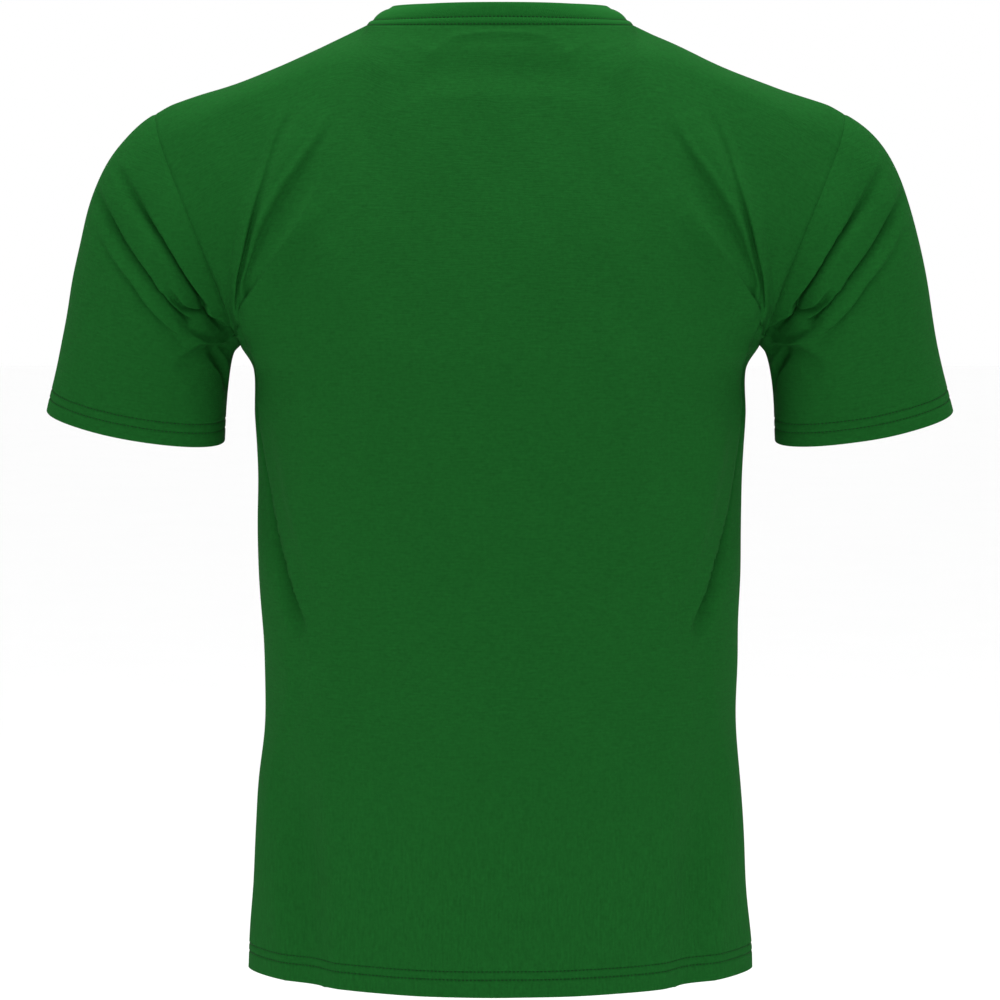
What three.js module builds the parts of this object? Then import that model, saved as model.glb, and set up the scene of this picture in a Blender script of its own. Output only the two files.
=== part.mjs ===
// A plain crew-neck t-shirt, men's size M, filled out as when it is worn. Millimetres, +Z up.
// The front faces -Y and the wearer's left is +X. The origin is the middle of the neck opening,
// level with the two points where the shoulder seams meet the collar.
//
// Five pieces are cut and sewn: back, front, two sleeves and the neck rib. Each is a thin wall
// of cloth, lofted through sections that are worked out from the sizes below.
import * as THREE from 'three';

// ---- Cloth -----------------------------------------------------------------------------------
const JERSEY = 1.2; // wall of the single cloth
const DOUBLED = 2.4; // wall of the folded rib and of a turned-up hem
const SEAM_GAP = 0.3; // between the edges of two pieces at a seam
const HEM_TURN = 22; // depth of the turned-up hem and cuffs

// ---- Neck and shoulders ----------------------------------------------------------------------
// The neck seam and the folded top edge of the rib are rings through a back, a side and a front
// point. `dip` is how late the front of the ring falls: above 1 it leaves the side level.
const NECK_SEAM = {
  half: 98, sideY: 4, sideZ: 0, backY: 60, backZ: -3, frontY: -75, frontZ: -85, dip: 1.4,
};
const NECK_TOP = {
  half: 78, sideY: 1, sideZ: 14, backY: 56, backZ: 13.5, frontY: -62, frontZ: -67, dip: 1.4,
};
const NECK_SHARE = 0.4; // share of a panel's top edge that is neckline, the rest is shoulder

const SHOULDER_SEAM = [
  { along: 0, x: 98, y: 4, z: 0 },
  { along: 0.33, x: 148, y: 6, z: -24 },
  { along: 0.66, x: 201, y: 8, z: -45 },
  { along: 0.9, x: 238, y: 9, z: -57 },
  { along: 1, x: 252, y: 8, z: -65 },
];

// The panels some 45 mm from the top edge, where they have rounded the shoulder.
const YOKE_BACK = [
  { across: 0, x: 0, y: 81, z: -46 },
  { across: 0.2, x: 73, y: 70, z: -42 },
  { across: 0.4, x: 107, y: 47, z: -30 },
  { across: 0.6, x: 150, y: 43, z: -43 },
  { across: 0.8, x: 201, y: 43, z: -65 },
  { across: 1, x: 245, y: 36, z: -90 },
];
const YOKE_FRONT = [
  { across: 0, x: 0, y: -93, z: -121 },
  { across: 0.2, x: 75, y: -77, z: -88 },
  { across: 0.4, x: 107, y: -44, z: -29 },
  { across: 0.6, x: 150, y: -39, z: -38 },
  { across: 0.8, x: 202, y: -34, z: -61 },
  { across: 1, x: 244, y: -26, z: -91 },
];

// Widest part of the shoulder blades and of the chest, from the centre line to the armhole.
const BLADES = { half: 212.5, centreY: 108, centreZ: -145, edgeY: 55, edgeZ: -169 };
const CHEST = { half: 207, centreY: -112, centreZ: -167, edgeY: -44, edgeZ: -165 };
const FAN = THREE.MathUtils.degToRad(70); // spreads the columns over that section
const UNDERARM_TURN = { x: -0.05, y: 0.93, z: -0.35 }; // how the armhole ends at the underarm

// ---- Torso -----------------------------------------------------------------------------------
// Level rings from the underarm to the hem. `flat` above 1 draws the sides to a soft edge.
const SIDE_SEAM_Y = 4;
const LEVELS = [
  { z: -235, half: 191, back: 120, front: -128, flat: 0.85 },
  { z: -252, half: 181.5, back: 121, front: -130, flat: 0.88 },
  { z: -285, half: 180, back: 120, front: -131, flat: 0.92 },
  { z: -335, half: 178.5, back: 116, front: -128, flat: 0.97 },
  { z: -395, half: 178, back: 110, front: -123, flat: 1.02 },
  { z: -455, half: 175.5, back: 106, front: -118, flat: 1.08 },
  { z: -515, half: 175.5, back: 105, front: -116, flat: 1.14 },
  { z: -575, half: 180, back: 107, front: -116, flat: 1.2 },
  { z: -635, half: 184.5, back: 110, front: -117, flat: 1.25 },
  { z: -676, half: 187.5, back: 112, front: -118, flat: 1.28 },
  { z: -698, half: 188, back: 112, front: -118, flat: 1.3 },
];

// ---- Sleeves ---------------------------------------------------------------------------------
// The cuff is an oval: its middle, and from there to its outer and its back point.
const CUFF = { middle: [269.5, -5, -294], outer: [65.5, 0, 10], back: [-8, 47, -9.5] };
// How the cloth leaves the armhole and arrives at the cuff, round from the underarm (0) by the
// back (0.25), the shoulder (0.5) and the front (0.75).
const LEAVING = [
  { round: 0, x: 26, y: 0, z: -18 },
  { round: 0.25, x: 105, y: 22, z: -80 },
  { round: 0.5, x: 180, y: 0, z: -105 },
  { round: 0.75, x: 105, y: -25, z: -80 },
  { round: 1, x: 26, y: 0, z: -18 },
];
const ARRIVING = [
  { round: 0, x: 5, y: -10, z: -72 },
  { round: 0.25, x: 28, y: -30, z: -190 },
  { round: 0.5, x: 92, y: -30, z: -353 },
  { round: 0.75, x: 28, y: -40, z: -190 },
  { round: 1, x: 5, y: -10, z: -72 },
];

// ---- Folds -----------------------------------------------------------------------------------
// The largest folds, where the cloth is drawn to the underarms and sinks in at the sides. Each is
// a soft ridge, or a trough where it rises by less than 0, along a bent line through three places
// in the front view, [x, z], on the wearer's left. It lies mirrored on the right.
const FOLDS = [
  { name: 'blade to underarm', isBack: true, reach: 20, rise: 5,
    line: [[140, -75], [168, -130], [187, -195]] },
  { name: 'ribs to underarm', isBack: true, reach: 18, rise: 4,
    line: [[128, -130], [162, -175], [187, -215]] },
  { name: 'back side', isBack: true, reach: 18, rise: -7,
    line: [[180, -290], [164, -370], [140, -430]] },
  { name: 'back hem', isBack: true, reach: 24, rise: -9,
    line: [[150, -540], [145, -620], [138, -720]] },
  { name: 'sleeve back', isBack: true, reach: 14, rise: -5,
    line: [[270, -115], [232, -169], [198, -225]] },
  { name: 'low sleeve back', isBack: true, reach: 14, rise: -5,
    line: [[290, -132], [252, -181], [212, -224]] },
  { name: 'chest to underarm', isBack: false, reach: 20, rise: 5,
    line: [[118, -112], [155, -158], [184, -210]] },
  { name: 'front side', isBack: false, reach: 18, rise: -6,
    line: [[178, -320], [164, -400], [148, -470]] },
  { name: 'front hem', isBack: false, reach: 26, rise: -8,
    line: [[128, -560], [120, -640], [112, -720]] },
  { name: 'sleeve front', isBack: false, reach: 16, rise: -5,
    line: [[274, -120], [238, -170], [200, -222]] },
];
const FOLD_STEPS = 24; // places along a fold's line
const FACING = 0.35; // a fold is whole where the cloth faces the front or back by this much

// ---- Facets ----------------------------------------------------------------------------------
const NECK_COLUMNS = 6; // from the centre line to the shoulder seam
const SHOULDER_COLUMNS = 7; // from there to the armhole
const SECTION_ROWS = [3, 4, 5, 1, 1, 2, 2, 2, 2, 2, 2, 1, 1]; // rows between two sections
const ARMHOLE_SECTIONS = 3; // of those, the ones beside the armhole
const SLEEVE_ROWS = 11;
const BAND_ROWS = 4;

// ---- Colour ----------------------------------------------------------------------------------
const GREEN = new THREE.Color().setRGB(27 / 255, 86 / 255, 35 / 255, THREE.SRGBColorSpace);

// ---- Curves ----------------------------------------------------------------------------------
const vec = (x, y, z) => new THREE.Vector3(x, y, z);

// Cubic from a to b with end slopes ta and tb, at f from 0 to 1. Works on numbers.
function hermite(a, b, ta, tb, f) {
  const g = 1 - f;
  return a * (1 + 2 * f) * g * g + ta * f * g * g + b * (3 - 2 * f) * f * f - tb * g * f * f;
}

function hermitePoint(a, b, ta, tb, f) {
  const along = (axis) => hermite(a[axis], b[axis], ta[axis], tb[axis], f);
  return vec(along('x'), along('y'), along('z'));
}

// A smooth value through a table's column, at a place in its key column.
function fromTable(rows, key, column, at) {
  const last = rows.length - 1;
  const step = rows[last][key] > rows[0][key] ? 1 : -1;
  let i = 0;
  while (i < last - 1 && (at - rows[i + 1][key]) * step > 0) i += 1;
  const slope = (a, b) => (rows[b][column] - rows[a][column]) / (rows[b][key] - rows[a][key]);
  const span = rows[i + 1][key] - rows[i][key];
  const before = slope(Math.max(i - 1, 0), i + 1) * span;
  const after = slope(i, Math.min(i + 2, last)) * span;
  return hermite(rows[i][column], rows[i + 1][column], before, after, (at - rows[i][key]) / span);
}

const pointFromTable = (rows, key, at) =>
  vec(fromTable(rows, key, 'x', at), fromTable(rows, key, 'y', at), fromTable(rows, key, 'z', at));

// A quarter of a neck ring, from the centre line (0) to the side (1).
function neckRing(ring, isBack, f) {
  const angle = (f * Math.PI) / 2;
  const cos = Math.cos(angle);
  const endY = isBack ? ring.backY : ring.frontY;
  const endZ = isBack ? ring.backZ : ring.frontZ;
  const fall = isBack ? cos : Math.max(cos, 0) ** ring.dip;
  const y = ring.sideY + (endY - ring.sideY) * cos;
  return vec(ring.half * Math.sin(angle), y, ring.sideZ + (endZ - ring.sideZ) * fall);
}

// ---- Panels ----------------------------------------------------------------------------------
// `across` runs from the centre line (0) to the armhole and side seam (1).
function topEdge(isBack, across) {
  if (across <= NECK_SHARE) return neckRing(NECK_SEAM, isBack, across / NECK_SHARE);
  return pointFromTable(SHOULDER_SEAM, 'along', (across - NECK_SHARE) / (1 - NECK_SHARE));
}

function widestSection(isBack, across) {
  const size = isBack ? BLADES : CHEST;
  const share = Math.sin(across * FAN) / Math.sin(FAN);
  const y = size.edgeY + (size.centreY - size.edgeY) * (1 - share * share);
  const z = size.centreZ + (size.edgeZ - size.centreZ) * across * across;
  return vec(size.half * share, y, z);
}

function levelRing(isBack, across, level) {
  const angle = (across * Math.PI) / 2;
  const depth = isBack ? level.back : level.front;
  const fullness = Math.max(Math.cos(angle), 0) ** level.flat;
  return vec(level.half * Math.sin(angle), SIDE_SEAM_Y + (depth - SIDE_SEAM_Y) * fullness, level.z);
}

// The points of one column, where it crosses each section.
function columnSections(isBack, across) {
  return [
    topEdge(isBack, across),
    pointFromTable(isBack ? YOKE_BACK : YOKE_FRONT, 'across', across),
    widestSection(isBack, across),
    ...LEVELS.map((level) => levelRing(isBack, across, level)),
  ];
}

// The slope of a column where it crosses section i. At the side the column turns a corner at the
// underarm, from the armhole to the side seam, so there it has one slope above and one below.
function columnSlope(isBack, points, i, above, corner) {
  const last = points.length - 1;
  const from = points[Math.max(i - 1, 0)];
  const to = points[Math.min(i + 1, last)];
  const here = points[i];
  const smooth = to.clone().sub(from).divideScalar(from.distanceTo(here) + here.distanceTo(to));
  if (i !== ARMHOLE_SECTIONS || corner === 0) return smooth;
  const turn = vec(UNDERARM_TURN.x, isBack ? -UNDERARM_TURN.y : UNDERARM_TURN.y, UNDERARM_TURN.z);
  return smooth.lerp(above ? turn : to.clone().sub(here).normalize(), corner);
}

function column(isBack, across) {
  const points = columnSections(isBack, across);
  const corner = THREE.MathUtils.smoothstep(across, 0.8, 1);
  const places = [points[0]];
  SECTION_ROWS.forEach((rows, i) => {
    const span = points[i].distanceTo(points[i + 1]);
    const start = columnSlope(isBack, points, i, false, corner).multiplyScalar(span);
    const end = columnSlope(isBack, points, i + 1, true, corner).multiplyScalar(span);
    for (let row = 1; row <= rows; row += 1) {
      places.push(hermitePoint(points[i], points[i + 1], start, end, row / rows));
    }
  });
  return places;
}

const mirrored = (point) => vec(-point.x, point.y, point.z);

// A panel's outer face as rows of points, from the wearer's right to the left.
function panelGrid(isBack) {
  const halfColumns = [];
  for (let i = 0; i <= NECK_COLUMNS; i += 1) {
    halfColumns.push(column(isBack, (NECK_SHARE * i) / NECK_COLUMNS));
  }
  for (let i = 1; i <= SHOULDER_COLUMNS; i += 1) {
    halfColumns.push(column(isBack, NECK_SHARE + ((1 - NECK_SHARE) * i) / SHOULDER_COLUMNS));
  }
  const rightColumns = halfColumns.slice(1).reverse().map((points) => points.map(mirrored));
  const columns = [...rightColumns, ...halfColumns];
  return columns[0].map((_, row) => columns.map((points) => points[row]));
}

// ---- Sleeve ----------------------------------------------------------------------------------
// The armhole's points, round from the underarm by the back and the shoulder to the front.
function armhole(backGrid, frontGrid) {
  const rows = SECTION_ROWS.slice(0, ARMHOLE_SECTIONS).reduce((sum, count) => sum + count, 0);
  const edge = (grid) => grid.slice(0, rows + 1).map((points) => points[points.length - 1]);
  return [...edge(backGrid).reverse(), ...edge(frontGrid).slice(1, -1)];
}

function cuffPoint(round) {
  const angle = Math.PI - round * 2 * Math.PI;
  const outer = vec(...CUFF.outer).multiplyScalar(Math.cos(angle));
  return vec(...CUFF.back).multiplyScalar(Math.sin(angle)).add(outer).add(vec(...CUFF.middle));
}

function sleeveGrid(ring) {
  const rows = [];
  for (let row = 0; row <= SLEEVE_ROWS; row += 1) {
    rows.push(ring.map((start, i) => {
      const round = i / ring.length;
      const leaving = pointFromTable(LEAVING, 'round', round);
      const arriving = pointFromTable(ARRIVING, 'round', round);
      return hermitePoint(start, cuffPoint(round), leaving, arriving, row / SLEEVE_ROWS);
    }));
  }
  return rows;
}

// ---- Neck rib --------------------------------------------------------------------------------
function bandGrid() {
  const ring = (size) => {
    const quarter = (isBack) => {
      const points = [];
      for (let i = 0; i <= NECK_COLUMNS; i += 1) points.push(neckRing(size, isBack, i / NECK_COLUMNS));
      return points;
    };
    const leftHalf = [...quarter(true), ...quarter(false).reverse().slice(1)];
    return [...leftHalf, ...leftHalf.slice(1, -1).reverse().map(mirrored)];
  };
  const seam = ring(NECK_SEAM);
  const top = ring(NECK_TOP);
  const rows = [];
  for (let row = 0; row <= BAND_ROWS; row += 1) {
    const f = row / BAND_ROWS;
    rows.push(seam.map((point, i) => point.clone().lerp(top[i], f)));
  }
  return rows;
}

// ---- Walls -----------------------------------------------------------------------------------
// A sheet is a grid of points on the outer face of a piece. `round` says that its rows close on
// themselves, and `turned` that its rows and columns run the other way round.
const keyOf = (point) => point.toArray().map((value) => Math.round(value * 100)).join();

// The four corners of each cell, begun so that its shorter diagonal joins the second and fourth.
function cellsOf(sheet) {
  const cells = [];
  const columns = sheet.grid[0].length;
  for (let i = 0; i < sheet.grid.length - 1; i += 1) {
    for (let j = 0; j < (sheet.round ? columns : columns - 1); j += 1) {
      const next = (j + 1) % columns;
      const corners = [[i, j], [i, next], [i + 1, next], [i + 1, j]];
      if (sheet.turned) corners.reverse();
      const [a, b, c, d] = corners.map(([row, column]) => sheet.grid[row][column]);
      if (a.distanceTo(c) < b.distanceTo(d)) corners.push(corners.shift());
      cells.push(corners);
    }
  }
  return cells;
}

// The mean normal at each point of all the sheets together, so that two pieces share the
// direction of their walls along a seam.
function sharedNormals(sheets) {
  const normals = new Map();
  sheets.forEach((sheet) => cellsOf(sheet).forEach((corners) => {
    const [a, b, c, d] = corners.map(([i, j]) => sheet.grid[i][j]);
    const normal = d.clone().sub(b).cross(c.clone().sub(a));
    [a, b, c, d].forEach((point) => {
      const key = keyOf(point);
      normals.set(key, (normals.get(key) ?? vec(0, 0, 0)).add(normal));
    });
  }));
  normals.forEach((normal) => normal.normalize());
  return (point) => normals.get(keyOf(point));
}

// How far a fold lifts a place in the front view: soft across, and dying out at both ends.
function foldLift(fold, x, z) {
  let nearest = Infinity;
  let along = 0;
  fold.places.forEach((place, i) => {
    const distance = Math.hypot(place.x - x, place.z - z);
    if (distance < nearest) {
      nearest = distance;
      along = i / FOLD_STEPS;
    }
  });
  if (nearest >= fold.reach) return 0;
  const across = Math.cos((nearest / fold.reach) * (Math.PI / 2)) ** 2;
  return fold.rise * across * Math.sqrt(Math.sin(Math.PI * THREE.MathUtils.clamp(along, 0.02, 0.98)));
}

const foldLines = FOLDS.map((fold) => {
  const line = new THREE.CatmullRomCurve3(fold.line.map(([x, z]) => vec(x, 0, z)));
  return { ...fold, places: line.getPoints(FOLD_STEPS) };
});

// The point as the folds lift it along its normal. Pieces that share it stay together.
function folded(point, normal) {
  const lift = foldLines.reduce((sum, fold) => {
    const facing = THREE.MathUtils.smoothstep(fold.isBack ? normal.y : -normal.y, 0, FACING);
    return facing === 0 ? sum : sum + facing * foldLift(fold, Math.abs(point.x), point.z);
  }, 0);
  return point.clone().addScaledVector(normal, lift);
}

// The grid places along a piece's sewn edge, in order. A panel is sewn up one side, along the
// top and down the other, and a tube round its first row.
function sewnEdge(sheet) {
  const lastColumn = sheet.grid[0].length - 1;
  const top = sheet.grid[0].map((_, j) => [0, j]);
  if (sheet.round) return top;
  const right = sheet.grid.map((_, i) => [i, 0]).reverse();
  const left = sheet.grid.map((_, i) => [i, lastColumn]);
  return [...right, ...top.slice(1, -1), ...left];
}

// Draws a sewn edge in by half the seam gap, square to the edge and along the cloth.
function drawnIn(sheet, normalAt) {
  const grid = sheet.grid.map((row) => row.map((point) => point.clone()));
  const edge = sewnEdge(sheet);
  const pointAt = ([i, j]) => sheet.grid[i][j];
  const count = edge.length;
  edge.forEach((place, k) => {
    const here = pointAt(place);
    const before = pointAt(edge[sheet.round ? (k + count - 1) % count : Math.max(k - 1, 0)]);
    const after = pointAt(edge[sheet.round ? (k + 1) % count : Math.min(k + 1, count - 1)]);
    const inward = [here.clone().sub(before), after.clone().sub(here)]
      .filter((step) => step.lengthSq() > 0)
      .map((step) => normalAt(here).clone().cross(step).normalize());
    const [first, second] = [inward[0], inward[inward.length - 1]];
    const shift = first.clone().add(second).divideScalar(1 + first.dot(second));
    const side = sheet.turned ? 1 : -1;
    grid[place[0]][place[1]].addScaledVector(shift, (side * SEAM_GAP) / 2);
  });
  return grid;
}

// A closed wall between a sheet's outer face and the same face moved in by the wall.
function wallGeometry(sheet, normalAt) {
  const outer = drawnIn(sheet, normalAt);
  const columns = outer[0].length;
  const count = outer.length * columns;
  const positions = [];
  outer.forEach((row) => row.forEach((point) => positions.push(...point)));
  outer.forEach((row, i) => row.forEach((point, j) => {
    const inner = point.clone().addScaledVector(normalAt(sheet.grid[i][j]), -sheet.wall(i, j));
    positions.push(...inner);
  }));
  const triangles = [];
  const quad = (a, b, c, d) => triangles.push(a, b, c, a, c, d);
  const edges = new Map();
  cellsOf(sheet).forEach((corners) => {
    const [a, b, c, d] = corners.map(([i, j]) => i * columns + j);
    quad(d, c, b, a);
    quad(b + count, c + count, d + count, a + count);
    [[a, b], [b, c], [c, d], [d, a]].forEach(([from, to]) => {
      if (!edges.delete(`${to},${from}`)) edges.set(`${from},${to}`, [from, to]);
    });
  });
  const span = (a, b) => Math.hypot(...[0, 1, 2].map((k) => positions[a * 3 + k] - positions[b * 3 + k]));
  edges.forEach(([from, to]) => {
    if (span(from, to + count) < span(to, from + count)) quad(from, to, to + count, from + count);
    else quad(to, to + count, from + count, from);
  });
  const geometry = new THREE.BufferGeometry();
  geometry.setAttribute('position', new THREE.Float32BufferAttribute(positions, 3));
  geometry.setIndex(triangles);
  geometry.computeVertexNormals();
  return geometry;
}

// ---- The garment -----------------------------------------------------------------------------
const hemStart = LEVELS[LEVELS.length - 1].z + HEM_TURN;
const backGrid = panelGrid(true);
const frontGrid = panelGrid(false);
const leftSleeve = sleeveGrid(armhole(backGrid, frontGrid));
const rightSleeve = leftSleeve.map((row) => row.map(mirrored));

const hemWall = (grid) => (i, j) => (grid[i][j].z <= hemStart + 0.01 ? DOUBLED : JERSEY);
const cuffWall = (i) => (i >= SLEEVE_ROWS - 1 ? DOUBLED : JERSEY);

const sheets = {
  back: { grid: backGrid, turned: true, wall: hemWall(backGrid) },
  front: { grid: frontGrid, turned: false, wall: hemWall(frontGrid) },
  sleeve_left: { grid: leftSleeve, round: true, turned: true, wall: cuffWall },
  sleeve_right: { grid: rightSleeve, round: true, turned: false, wall: cuffWall },
  neck_band: { grid: bandGrid(), round: true, turned: false, wall: () => DOUBLED },
};

const plainNormalAt = sharedNormals(Object.values(sheets));
Object.values(sheets).forEach((sheet) => {
  sheet.grid = sheet.grid.map((row) => row.map((point) => folded(point, plainNormalAt(point))));
});
const normalAt = sharedNormals(Object.values(sheets));
const shirt = new THREE.Group();
Object.entries(sheets).forEach(([name, sheet]) => {
  const cloth = new THREE.MeshStandardMaterial({ color: GREEN, roughness: 0.9, metalness: 0 });
  const mesh = new THREE.Mesh(wallGeometry(sheet, normalAt), cloth);
  mesh.name = name;
  shirt.add(mesh);
});

export default shirt;
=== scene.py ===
# A plain crew-neck t-shirt, men's size M, filled out as when it is worn. The tables are in
# millimetres and Blender's meshes in metres, +Z up. The front faces -Y and the wearer's left is +X.
import math

import bpy
import numpy as np
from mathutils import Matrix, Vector


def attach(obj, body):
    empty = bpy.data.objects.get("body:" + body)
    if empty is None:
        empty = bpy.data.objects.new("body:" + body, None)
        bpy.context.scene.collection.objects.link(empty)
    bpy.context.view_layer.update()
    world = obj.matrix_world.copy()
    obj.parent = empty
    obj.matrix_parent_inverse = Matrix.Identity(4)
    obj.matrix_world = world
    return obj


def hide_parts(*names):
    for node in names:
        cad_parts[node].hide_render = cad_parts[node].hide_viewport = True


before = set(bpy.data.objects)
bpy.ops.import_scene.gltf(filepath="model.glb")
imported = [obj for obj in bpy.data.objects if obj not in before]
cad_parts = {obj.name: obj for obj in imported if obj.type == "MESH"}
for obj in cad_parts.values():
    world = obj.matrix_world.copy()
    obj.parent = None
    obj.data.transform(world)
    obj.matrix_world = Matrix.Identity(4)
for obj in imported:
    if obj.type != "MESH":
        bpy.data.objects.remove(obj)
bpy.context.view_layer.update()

# ---- Form: the same sizes as the solids ----
NECK_SEAM = dict(half=98, side=(4, 0), back=(60, -3), front=(-75, -85), dip=1.4)
NECK_TOP = dict(half=78, side=(1, 14), back=(56, 13.5), front=(-62, -67), dip=1.4)
NECK_SHARE = 0.4  # of the way across the panel, from the centre line
# along the seam, then x, y, z
SHOULDER_SEAM = [
    (0, 98, 4, 0),
    (0.33, 148, 6, -24),
    (0.66, 201, 8, -45),
    (0.9, 238, 9, -57),
    (1, 252, 8, -65),
]
# across the panel, then x, y, z
YOKE_BACK = [
    (0, 0, 81, -46),
    (0.2, 73, 70, -42),
    (0.4, 107, 47, -30),
    (0.6, 150, 43, -43),
    (0.8, 201, 43, -65),
    (1, 245, 36, -90),
]
YOKE_FRONT = [
    (0, 0, -93, -121),
    (0.2, 75, -77, -88),
    (0.4, 107, -44, -29),
    (0.6, 150, -39, -38),
    (0.8, 202, -34, -61),
    (1, 244, -26, -91),
]
# half width, then y and z on the centre line and at the armhole
BLADES = dict(half=212.5, centre=(108, -145), edge=(55, -169))
CHEST = dict(half=207, centre=(-112, -167), edge=(-44, -165))
FAN = math.radians(70)  # how the columns spread over the blades and the chest
UNDERARM_TURN = (-0.05, 0.93, -0.35)  # way the front runs into the underarm point
UNDERARM_SHARE = 0.8  # where across the panel that turn begins
SHOULDER_ROUND = (0.85, 0.52)  # share of the round over the shoulder seam, and where it is whole
SIDE_SEAM_Y = 4
# z, half width, y of the back, y of the front, flatness
LEVELS = [
    (-235, 191, 120, -128, 0.85),
    (-252, 181.5, 121, -130, 0.88),
    (-285, 180, 120, -131, 0.92),
    (-335, 178.5, 116, -128, 0.97),
    (-395, 178, 110, -123, 1.02),
    (-455, 175.5, 106, -118, 1.08),
    (-515, 175.5, 105, -116, 1.14),
    (-575, 180, 107, -116, 1.2),
    (-635, 184.5, 110, -117, 1.25),
    (-676, 187.5, 112, -118, 1.28),
    (-698, 188, 112, -118, 1.3),
]
# The cuff's ring: its middle, and from there to its outer side and to its back.
CUFF_MIDDLE = (269.5, -5, -294)
CUFF_OUTER = (65.5, 0, 10)
CUFF_BACK = (-8, 47, -9.5)
# The sleeve's slope at the armhole and at the cuff: round the sleeve, then x, y, z.
LEAVING = [
    (0, 26, 0, -18),
    (0.25, 105, 22, -80),
    (0.5, 180, 0, -105),
    (0.75, 105, -25, -80),
    (1, 26, 0, -18),
]
ARRIVING = [
    (0, 5, -10, -72),
    (0.25, 28, -30, -190),
    (0.5, 92, -30, -353),
    (0.75, 28, -40, -190),
    (1, 5, -10, -72),
]
ARMHOLE_SECTIONS = 3
ARMHOLE_STEPS = (3, 4, 5)  # how the solid's facets share those sections, which sets LEAVING's key

# Broad folds of the solids: face (1 back, -1 front), reach, rise and a line in x, z.
BROAD_FOLDS = [
    (1, 20, 5, [(140, -75), (168, -130), (187, -195)]),
    (1, 18, 4, [(128, -130), (162, -175), (187, -215)]),
    (1, 18, -7, [(180, -290), (164, -370), (140, -430)]),
    (1, 24, -9, [(150, -540), (145, -620), (138, -720)]),
    (1, 14, -5, [(270, -115), (232, -169), (198, -225)]),
    (1, 14, -5, [(290, -132), (252, -181), (212, -224)]),
    (-1, 20, 5, [(118, -112), (155, -158), (184, -210)]),
    (-1, 18, -6, [(178, -320), (164, -400), (148, -470)]),
    (-1, 26, -8, [(128, -560), (120, -640), (112, -720)]),
    (-1, 16, -5, [(274, -120), (238, -170), (200, -222)]),
]
FACING = 0.35  # how squarely the cloth faces back or front before such a fold is whole
FOLD_SPACING = 2  # between the points of its line
FOLD_END = 0.02  # share of its line that is left out of its run at each end

# ---- Creases ----
# Overlapping folds. On the side of the line that `over` points to, the cloth stands up in a
# crest, and it drops over the line into a groove. edge is half the width of the drop, up and down
# how far the crest and the groove run out, lean how far the crest hangs over the groove, and tuck
# how far the groove reaches in under the crest. slit is the share of the groove that is a narrow
# slit beside the drop. All lie on the wearer's left and are mirrored on the right.
SIZES = ("crest", "groove", "edge", "up", "down", "lean", "tuck", "slit")
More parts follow.
